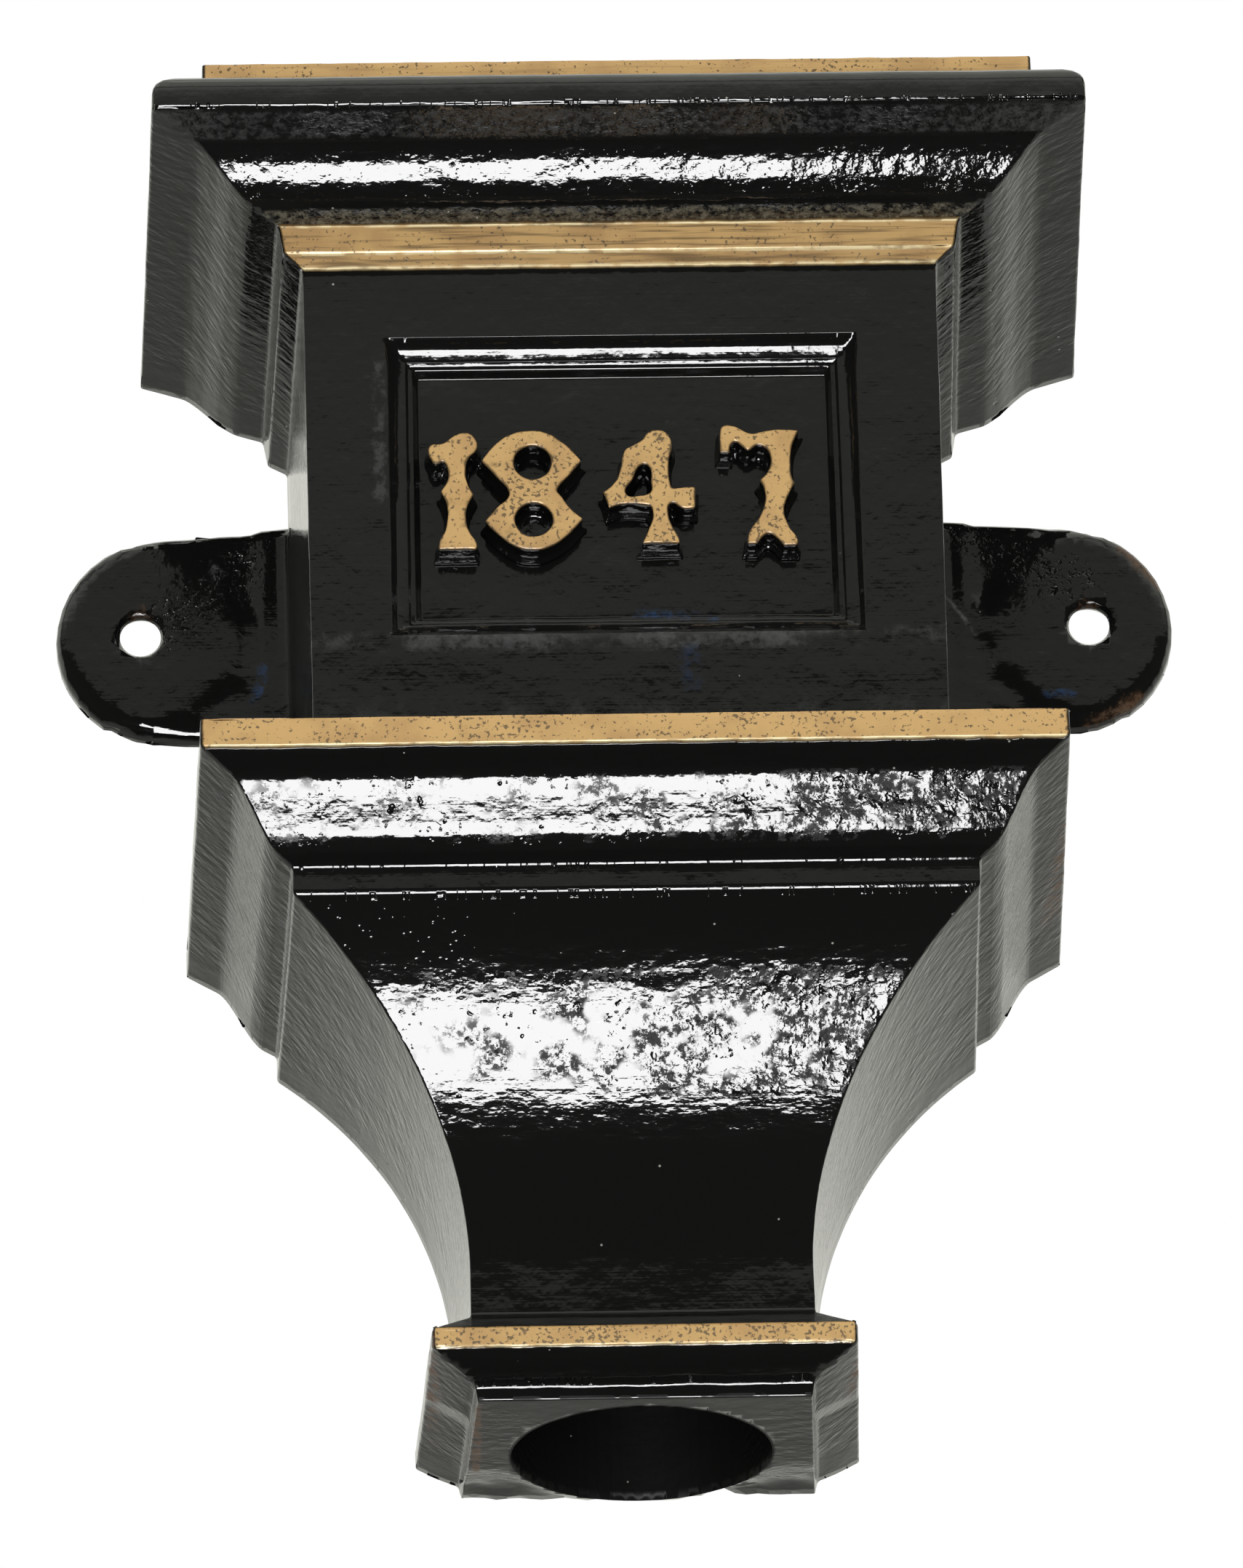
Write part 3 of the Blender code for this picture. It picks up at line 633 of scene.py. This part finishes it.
cell = add_node(tree, "ShaderNodeTexVoronoi", {"Vector": place, "Scale": MOTE_SCALE}).outputs
mote = ramp(tree, cell["Distance"], 0.030, 0.050, 1.0, 0.0)
chosen = ramp(tree, add_node(tree, "ShaderNodeSeparateXYZ", {0: cell["Color"]}).outputs[0], 0.60, 0.62)
colour = blend_colour(tree, times(tree, mote, chosen), colour, MOTE)
rusty = 0.0
for start, end, width in RUST_PATCHES:
    mask = times(tree, patch(tree, place, start, end, width), wisps)
    rusty = reckon(tree, "MAXIMUM", rusty, mask)
colour = blend_colour(tree, times(tree, rusty, RUST_SHARE), colour, RUST)
roughness = reckon(tree, "MULTIPLY_ADD", rusty, RUST_ROUGHNESS, roughness)
mottled = 0.0
for start, end, width in MOTTLED_EARS:
    mottled = reckon(tree, "MAXIMUM", mottled, patch(tree, place, start, end, width))

edge_height = reckon(tree, "ADD", up_down, times(tree, wave, GILT_WAVE_SHARE))
gilded = 0.0
streaked = 0.0
specked = 0.0
for bottom, top, inner_face, streaks, specks in GILT_BANDS:
    band = between(tree, edge_height, bottom, top, GILT_EDGE)
    band = times(tree, band, ramp(tree, deep, inner_face + GILT_FACE_EDGE, inner_face))
    gilded = reckon(tree, "MAXIMUM", gilded, band)
    streaked = reckon(tree, "MULTIPLY_ADD", band, streaks, streaked)
    specked = reckon(tree, "MULTIPLY_ADD", band, specks, specked)
gilded = times(tree, gilded, on_front)
gilt = use_group(tree, gilt_paint, {"Place": place, "Streaks": streaked, "Specks": specked})
# Painted highlight: a paler gilt along each band's arris, broken by noise, stands in for the light that
# catches the rounded edges.
painted_glint = 0.0
for arris in GILT_ARRISES:
    painted_glint = reckon(tree, "MAXIMUM", painted_glint, beside(tree, edge_height, arris, *GILT_GLINT_REACH))
painted_glint = times(tree, painted_glint, ramp(tree, noise(tree, place, 150.0, 3.0), 0.36, 0.56, 0.15, 0.85))
colour = blend_colour(tree, gilded, colour, blend_colour(tree, painted_glint, gilt["Color"], GILT_GLINT))

clusters = ramp(tree, noise(tree, place, 60.0, 2.0), 0.36, 0.64, -0.50, 0.35)
uneven_zones = ramp(tree, noise(tree, place, 75.0, 2.0), 0.38, 0.60, 0.20, 1.20)
blotched = 0.0
pits = NO_PITS
for bottom, top, left_end, right_end, fewest, most, least_blotched, most_blotched in PITTED:
    zone = between(tree, up_down, bottom, top, ZONE_EDGE)
    amount = ramp(tree, across, left_end, right_end, fewest - NO_PITS, most - NO_PITS)
    pits = reckon(tree, "MULTIPLY_ADD", zone, reckon(tree, "ADD", clusters, amount), pits)
    amount = ramp(tree, across, left_end, right_end, least_blotched, most_blotched)
    blotched = reckon(tree, "MULTIPLY_ADD", zone, times(tree, amount, uneven_zones), blotched)
for patches, pitted in ((mottled, MOTTLED_PITS), (rusty, RUSTY_PITS)):
    amount = reckon(tree, "MULTIPLY_ADD", patches, pitted, PITS_BESIDE_PATCHES)
    pits = reckon(tree, "MAXIMUM", pits, amount)
pits = reckon(tree, "MULTIPLY_ADD", returns, RETURN_PITS, pits)
blotched = times(tree, blotched, facing)

dull = ramp(tree, noise(tree, place, 290.0, 5.0, 0.75), 0.48, 0.56)
dull = times(tree, dull, ramp(tree, blotched, 0.25, 0.90))
dull = times(tree, dull, ramp(tree, up_down, *DULL_TOP))
broken = ramp(tree, noise(tree, place, 110.0, 2.0), 0.46, 0.52)
broken = times(tree, broken, ramp(tree, deep, *OUTLET_FRONT))
broken = times(tree, broken, ramp(tree, up_down, *OUTLET_ARRIS))
dull = reckon(tree, "MAXIMUM", dull, broken)
from_middle = reckon(tree, "SUBTRACT", deep, OUTLET_MIDDLE)
from_middle = reckon(tree, "MULTIPLY_ADD", from_middle, from_middle, times(tree, across, across))
in_bore = ramp(tree, from_middle, OUTLET_BORE ** 2, (OUTLET_BORE + BORE_MARGIN) ** 2, 1.0, 0.0)
in_bore = times(tree, in_bore, ramp(tree, up_down, *BORE_TOP))
dull = reckon(tree, "MAXIMUM", dull, in_bore)
roughness = reckon(tree, "MULTIPLY_ADD", dull, DULL_ROUGHNESS, roughness)
gilt_roughness = add_node(tree, "ShaderNodeMix", {0: gilded, 2: roughness, 3: gilt["Roughness"]}).outputs[0]

uneven = use_group(tree, uneven_cast, {
    "Place": place, "Pits": pits, "Blotches": blotched, "Scratches": 1.0, "Hairs": returns})["Height"]
rumples = reckon(tree, "SUBTRACT", noise(tree, place, (130.0, 130.0, 290.0), 3.0), 0.5)
for bottom, top, amount in RUMPLED:
    zone = times(tree, between(tree, up_down, bottom, top, ZONE_EDGE), amount)
    uneven = reckon(tree, "MULTIPLY_ADD", rumples, times(tree, zone, facing), uneven)
wrinkled = reckon(
    tree, "MAXIMUM", rise_and_fall(tree, up_down, *WRINKLED_ROLL),
    rise_and_fall(tree, up_down, *WRINKLED_LEDGE))
wrinkles = reckon(tree, "SUBTRACT", noise(tree, place, 480.0, 3.0), 0.5)
wrinkles = times(tree, times(tree, wrinkles, wrinkled), facing)
uneven = reckon(tree, "MULTIPLY_ADD", wrinkles, WRINKLE_HEIGHT, uneven)
pimples = add_node(tree, "ShaderNodeTexVoronoi", {"Vector": place, "Scale": PIMPLE_SCALE}).outputs
pimples = ramp(tree, pimples["Distance"], 0.0, PIMPLE_REACH, 1.0, 0.0)
pimples = times(tree, pimples, pimples)
for start, end, width in PIMPLED:
    mask = patch(tree, place, start, end, width)
    uneven = reckon(tree, "MULTIPLY_ADD", times(tree, pimples, mask), PIMPLE_HEIGHT, uneven)
sag_height = reckon(tree, "MULTIPLY_ADD", noise(tree, place, 110.0, 3.0), SAG_WAVE, -SAG_WAVE / 2)
sag_height = reckon(tree, "ADD", up_down, sag_height)
for bottom, top, rise in SAGS:
    uneven = reckon(tree, "ADD", uneven, ramp(tree, sag_height, bottom, top, 0.0, rise))
lip = times(tree, rise_and_fall(tree, sag_height, *COLLAR_LIP), COLLAR_LIP_HEIGHT)
uneven = reckon(tree, "MULTIPLY_ADD", lip, ramp(tree, deep, *COLLAR_LIP_FRONT), uneven)
spaced = beside(tree, noise(tree, place, CHIP_SPACING, 1.0), 0.5, 0.0, CHIP_SHARE)
for arris in CHIPPED_ARRISES:
    chip = times(tree, spaced, beside(tree, up_down, arris, *CHIP_REACH))
    uneven = reckon(tree, "MULTIPLY_ADD", times(tree, chip, facing), -CHIP_DEPTH, uneven)
grained = add_node(tree, "ShaderNodeMix", {0: gilded, 2: uneven, 3: gilt["Height"]}).outputs[0]
finish_coat(casting, coat, colour, gilt_roughness, gilded, grained)
tree.links.new(
    reckon(tree, "MULTIPLY_ADD", dull, -DULL_SPECULAR_LOSS, 0.5),
    tree.nodes["Principled BSDF"].inputs["Specular IOR Level"])


# The figures of a generic year stand up from the sunk panel, cast in one with it.
# Each is cut from a bold outline, with sides that spread into a small fillet at the panel.
# Their faces are gilt by hand, and their sides are the same black coat.
FIGURE_FOOT = -0.0351
FIGURE_BACK = -0.1214
FIGURE_FRONT = -0.1302
FIGURE_CELL = 0.00042
FIGURE_SMOOTHING = 3
FIGURE_SMOOTH_FACTOR = 0.5
FIGURE_CURVE_STEPS = 10
FIGURE_BEVEL_STEPS = 2
FIGURE_LUMP_SIZE = 0.006
FIGURE_LUMP_DEPTH = 0.00035
FIGURE_GILT_DEPTH = 0.0009
FIGURE_GILT_EDGE = 0.0002
FIGURE_GILT_WAVE = 0.0008
FIGURE_RIM = (0.00025, 0.00055)
FIGURE_RIM_SHARE = 0.85
FIGURE_SPECKS = 0.04
FIGURE_BLOTCHES = 0.5
# Each layer of a figure has its thickness, its spread in millimetres and its bevel.
FIGURE_LAYERS = (
    (0.0088, 0.0, 0.0009),
    (0.0030, 0.25, 0.0002),
    (0.0022, 0.60, 0.0002),
    (0.0015, 1.15, 0.0002),
)
COUNTER_RADIUS = 5.4
COUNTER_LEFT = 15.4
COUNTER_HEIGHTS = (29.7, 10.6)
# Each figure has its left end, and in millimetres from there its outline and its counters.
FIGURES = {
    "one": (-0.0587, [
        (0.2, 33.5), (1.0, 36.0), (4.6, 36.5), (8.6, 39.4), (12.2, 40.0), (14.6, 38.2), (15.2, 34.6),
        (12.6, 31.3), (11.7, 27.5), (12.2, 22.9), (14.0, 19.2, "tip"), (12.0, 15.4), (11.6, 11.0),
        (12.4, 7.1), (14.6, 2.6), (14.4, 0.8, "tip"), (2.8, 0.8, "tip"), (3.2, 4.0), (5.2, 8.2),
        (5.8, 12.6), (5.2, 17.0), (3.8, 20.4, "tip"), (5.8, 24.0), (6.1, 27.5), (4.8, 30.1),
        (2.6, 29.3), (1.0, 31.2)], []),
    "eight": (-0.0427, [
        (0.0, 30.4, "tip"), (4.4, 36.2), (9.9, 39.9), (14.7, 40.6), (19.5, 39.9), (25.2, 36.0),
        (30.1, 30.1, "tip"), (26.6, 25.6), (23.4, 21.8), (22.6, 20.2, "tip"), (24.9, 16.9), (26.4, 14.4),
        (30.1, 10.6, "tip"), (25.2, 5.0), (19.5, 1.2), (14.7, 0.3), (9.9, 1.5), (4.6, 5.6),
        (0.7, 10.2, "tip"), (4.2, 14.8), (8.0, 18.9), (7.6, 20.9), (4.2, 25.2)],
        [[(COUNTER_LEFT + COUNTER_RADIUS * across, middle + COUNTER_RADIUS * rise)
          for across, rise in ((1, 0), (0, 1), (-1, 0), (0, -1))] for middle in COUNTER_HEIGHTS]),
    "four": (-0.0070, [
        (0.0, 19.6, "tip"), (3.4, 22.4), (5.6, 27.6), (6.9, 33.4), (9.6, 35.4), (12.2, 37.0), (14.2, 39.6),
        (17.2, 40.3), (19.8, 39.4), (21.4, 34.6), (20.4, 30.0), (20.2, 25.0), (21.0, 20.6, "tip"),
        (24.0, 20.9), (28.0, 21.1, "tip"), (27.7, 13.7, "tip"), (24.0, 13.6), (20.4, 15.4), (19.7, 12.4),
        (20.4, 8.8), (22.6, 4.2), (22.9, 2.0, "tip"), (11.3, 2.0, "tip"), (13.2, 6.6), (14.8, 11.6),
        (14.6, 14.6, "tip"), (10.0, 15.2), (4.6, 14.9), (1.8, 13.9, "tip"), (1.2, 16.6)],
        [[(12.4, 28.6), (14.2, 27.6), (14.5, 23.0), (14.2, 19.4), (11.0, 18.4), (7.4, 18.9), (9.4, 23.6)]]),
    "seven": (0.0280, [
        (0.2, 32.0, "tip"), (0.4, 38.0), (1.2, 41.2), (4.8, 41.3), (9.6, 38.8), (14.0, 39.5), (19.0, 40.0),
        (24.3, 39.6, "tip"), (22.2, 34.4), (21.5, 28.6), (21.8, 23.8), (22.6, 21.8, "tip"), (20.4, 17.6),
        (19.1, 12.6), (20.4, 7.6), (22.9, 2.6), (22.6, 0.9, "tip"), (18.4, 0.9, "tip"), (16.4, 3.4),
        (13.7, 4.9), (12.0, 3.6), (10.8, 1.6, "tip"), (7.4, 1.5, "tip"), (8.2, 5.8), (11.6, 11.2),
        (13.2, 16.0), (12.9, 20.6), (11.8, 22.8, "tip"), (14.4, 26.2), (15.2, 31.0), (13.6, 33.8),
        (11.4, 34.4), (8.9, 32.8), (6.8, 34.2), (5.0, 35.8), (4.0, 35.0), (3.6, 31.9, "tip")], []),
}


def add_outline(curve, points, left):
    """Add one closed outline in millimetres to a flat curve, with corners at its tips."""
    spline = curve.splines.new("BEZIER")
    spline.bezier_points.add(len(points) - 1)
    spline.use_cyclic_u = True
    for knot, (x, y, *tip) in zip(spline.bezier_points, points):
        knot.co = (left + x * MILLIMETRE, y * MILLIMETRE, 0.0)
        knot.handle_left_type = "VECTOR" if tip else "AUTO"
        knot.handle_right_type = "VECTOR" if tip else "AUTO"


def figure_layer(name, left, outline, counters, thickness, spread, bevel):
    """One slab of a figure's outline, widened by a spread in millimetres, standing up from the panel."""
    curve = bpy.data.curves.new(name, "CURVE")
    curve.dimensions = "2D"
    curve.fill_mode = "BOTH"
    curve.resolution_u = FIGURE_CURVE_STEPS
    curve.bevel_depth = bevel
    curve.bevel_resolution = FIGURE_BEVEL_STEPS
    curve.extrude = thickness / 2 - bevel
    curve.offset = spread * MILLIMETRE - bevel
    add_outline(curve, outline, left)
    for counter in counters:
        add_outline(curve, counter, left)
    slab = bpy.data.objects.new(name, curve)
    bpy.context.collection.objects.link(slab)
    select_only(slab)
    bpy.ops.object.convert(target="MESH")
    slab = bpy.context.active_object
    slab.rotation_euler = (math.radians(90), 0.0, 0.0)
    slab.location = (0.0, FIGURE_BACK - thickness / 2, FIGURE_FOOT)
    bpy.ops.object.transform_apply(location=True, rotation=True, scale=True)
    return slab


slabs = [
    figure_layer(name, left, outline, counters, thickness, spread, bevel)
    for name, (left, outline, counters) in FIGURES.items()
    for thickness, spread, bevel in FIGURE_LAYERS
]
select_only(slabs[0])
for slab in slabs:
    slab.select_set(True)
bpy.ops.object.join()
figures = bpy.context.active_object
figures.name = "raised_figures"
bpy.ops.object.mode_set(mode="EDIT")
bpy.ops.mesh.select_all(action="SELECT")
bpy.ops.mesh.remove_doubles(threshold=CASTING_MERGE)
bpy.ops.mesh.normals_make_consistent(inside=False)
bpy.ops.object.mode_set(mode="OBJECT")
apply_modifier(figures, "REMESH", mode="VOXEL", voxel_size=FIGURE_CELL)
apply_modifier(figures, "SMOOTH", factor=FIGURE_SMOOTH_FACTOR, iterations=FIGURE_SMOOTHING)
roughen(figures, FIGURE_LUMP_SIZE, FIGURE_LUMP_DEPTH)
select_only(figures)
bpy.ops.object.shade_smooth()
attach(figures, "root")

coat, tree, place = start_coat("gilt_faced_figures")
deep = add_node(tree, "ShaderNodeSeparateXYZ", {0: place}).outputs["Y"]
wave = reckon(
    tree, "MULTIPLY_ADD", noise(tree, place, 260.0, 3.0), FIGURE_GILT_WAVE, -FIGURE_GILT_WAVE / 2)
deep = reckon(tree, "ADD", deep, wave)
gilt_back = FIGURE_FRONT + FIGURE_GILT_DEPTH
gilded = ramp(tree, deep, gilt_back - FIGURE_GILT_EDGE, gilt_back + FIGURE_GILT_EDGE, 1.0, 0.0)
gilt = use_group(tree, gilt_paint, {"Place": place, "Streaks": 0.0, "Specks": FIGURE_SPECKS})
uneven = use_group(tree, uneven_cast, {
    "Place": place, "Pits": 0.0, "Blotches": FIGURE_BLOTCHES, "Scratches": 0.0, "Hairs": 0.0})["Height"]
grained = add_node(tree, "ShaderNodeMix", {0: gilded, 2: uneven, 3: gilt["Height"]}).outputs[0]
rim_start, rim_full = FIGURE_RIM
rim = ramp(tree, deep, FIGURE_FRONT + rim_start, FIGURE_FRONT + rim_full, 0.0, FIGURE_RIM_SHARE)
colour = blend_colour(tree, rim, gilt["Color"], GILT_SPECK)
colour = blend_colour(tree, gilded, BLACK, colour)
roughness = add_node(tree, "ShaderNodeMix", {0: gilded, 2: BLACK_ROUGHNESS, 3: gilt["Roughness"]}).outputs[0]
finish_coat(figures, coat, colour, roughness, gilded, grained)


# A plain pale floor lies well below the camera, and one softbox lights the front from below.
# The backdrop is white behind the object and dark in front of it, as in a photographer's studio.
FLOOR_HEIGHT = -2.6
FLOOR_SIZE = 14.0
FLOOR_PALE = (0.8, 0.8, 0.8, 1.0)
BACKDROP_WHITE = (1.0, 1.0, 1.0, 1.0)
ROOM_TINT = (1.0, 1.0, 0.92, 1.0)
SOFTBOX_DISTANCE = 1.05
SOFTBOX_ELEVATION = math.radians(-43.5)
SOFTBOX_SHIFT = -0.148
SOFTBOX_WIDTH = 0.60
SOFTBOX_HEIGHT = 0.523
SOFTBOX_RADIANCE = 17.5
FILL_STRENGTH = 1.30
# The gloss reflects a room whose brightness changes with the height and the depth of a direction.
HIGH_FRONT = (0.45, 0.72, 0.73, 0.80)
HIGH_FRONT_GLOW = 0.55
LOW_FRONT = (0.372, 0.402)
LOW_FRONT_GLOW = (0.02, 0.28)
FRONT_END = (-0.10, 0.10)
BEHIND = (-0.45, 0.30)
BEHIND_GLOW = (0.32, 0.85)
BEHIND_FOOT = (-1.0, -0.90)
BEHIND_FOOT_SHARE = (0.25, 1.0)
BEHIND_START = (0.12, 0.40)
ABOVE = (0.75, 0.95)
ABOVE_GLOW = 0.9

bpy.ops.mesh.primitive_plane_add(size=FLOOR_SIZE, location=(0, 0, FLOOR_HEIGHT))
floor = bpy.context.active_object
floor.name = "floor"
floor.visible_glossy = False
pale = bpy.data.materials.new("pale_floor")
pale.use_nodes = True
pale.node_tree.nodes["Principled BSDF"].inputs["Base Color"].default_value = FLOOR_PALE
floor.data.materials.append(pale)

softbox_data = bpy.data.lights.new("softbox", "AREA")
softbox_data.shape = "RECTANGLE"
softbox_data.size = SOFTBOX_WIDTH
softbox_data.size_y = SOFTBOX_HEIGHT
softbox_data.energy = SOFTBOX_RADIANCE * math.pi * SOFTBOX_WIDTH * SOFTBOX_HEIGHT
softbox = bpy.data.objects.new("softbox", softbox_data)
bpy.context.collection.objects.link(softbox)
away = Vector((0.0, -math.cos(SOFTBOX_ELEVATION), math.sin(SOFTBOX_ELEVATION)))
softbox.location = CAMERA_TARGET + away * SOFTBOX_DISTANCE + Vector((SOFTBOX_SHIFT, 0.0, 0.0))
softbox.rotation_euler = away.to_track_quat("Z", "Y").to_euler()
softbox.visible_camera = False
softbox.visible_diffuse = False

world = bpy.data.worlds.new("studio")
bpy.context.scene.world = world
world.use_nodes = True
tree = world.node_tree
backdrop = tree.nodes["Background"]
direction = add_node(tree, "ShaderNodeTexCoord", {}).outputs["Generated"]
deep, up_down = add_node(tree, "ShaderNodeSeparateXYZ", {0: direction}).outputs[1:]
front = reckon(
    tree, "MULTIPLY_ADD", rise_and_fall(tree, up_down, *HIGH_FRONT), HIGH_FRONT_GLOW,
    ramp(tree, up_down, *LOW_FRONT, *LOW_FRONT_GLOW))
front = times(tree, front, ramp(tree, deep, *FRONT_END, 1.0, 0.0))
behind = times(
    tree, ramp(tree, up_down, *BEHIND, *BEHIND_GLOW), ramp(tree, up_down, *BEHIND_FOOT, *BEHIND_FOOT_SHARE))
behind = times(tree, behind, ramp(tree, deep, *BEHIND_START))
above = ramp(tree, up_down, *ABOVE, 0.0, ABOVE_GLOW)
glossy_light = reckon(tree, "MAXIMUM", reckon(tree, "ADD", front, behind), above)
path = add_node(tree, "ShaderNodeLightPath", {})
lit = add_node(tree, "ShaderNodeMix", {0: path.outputs["Is Glossy Ray"], 2: FILL_STRENGTH, 3: glossy_light})
shown = add_node(tree, "ShaderNodeMix", {0: path.outputs["Is Camera Ray"], 2: lit.outputs[0], 3: 1.0})
tree.links.new(shown.outputs[0], backdrop.inputs["Strength"])
tinted = blend_colour(tree, path.outputs["Is Camera Ray"], ROOM_TINT, BACKDROP_WHITE)
tree.links.new(tinted, backdrop.inputs["Color"])
world.cycles.sampling_method = "NONE"
bpy.context.scene.view_settings.view_transform = "Standard"
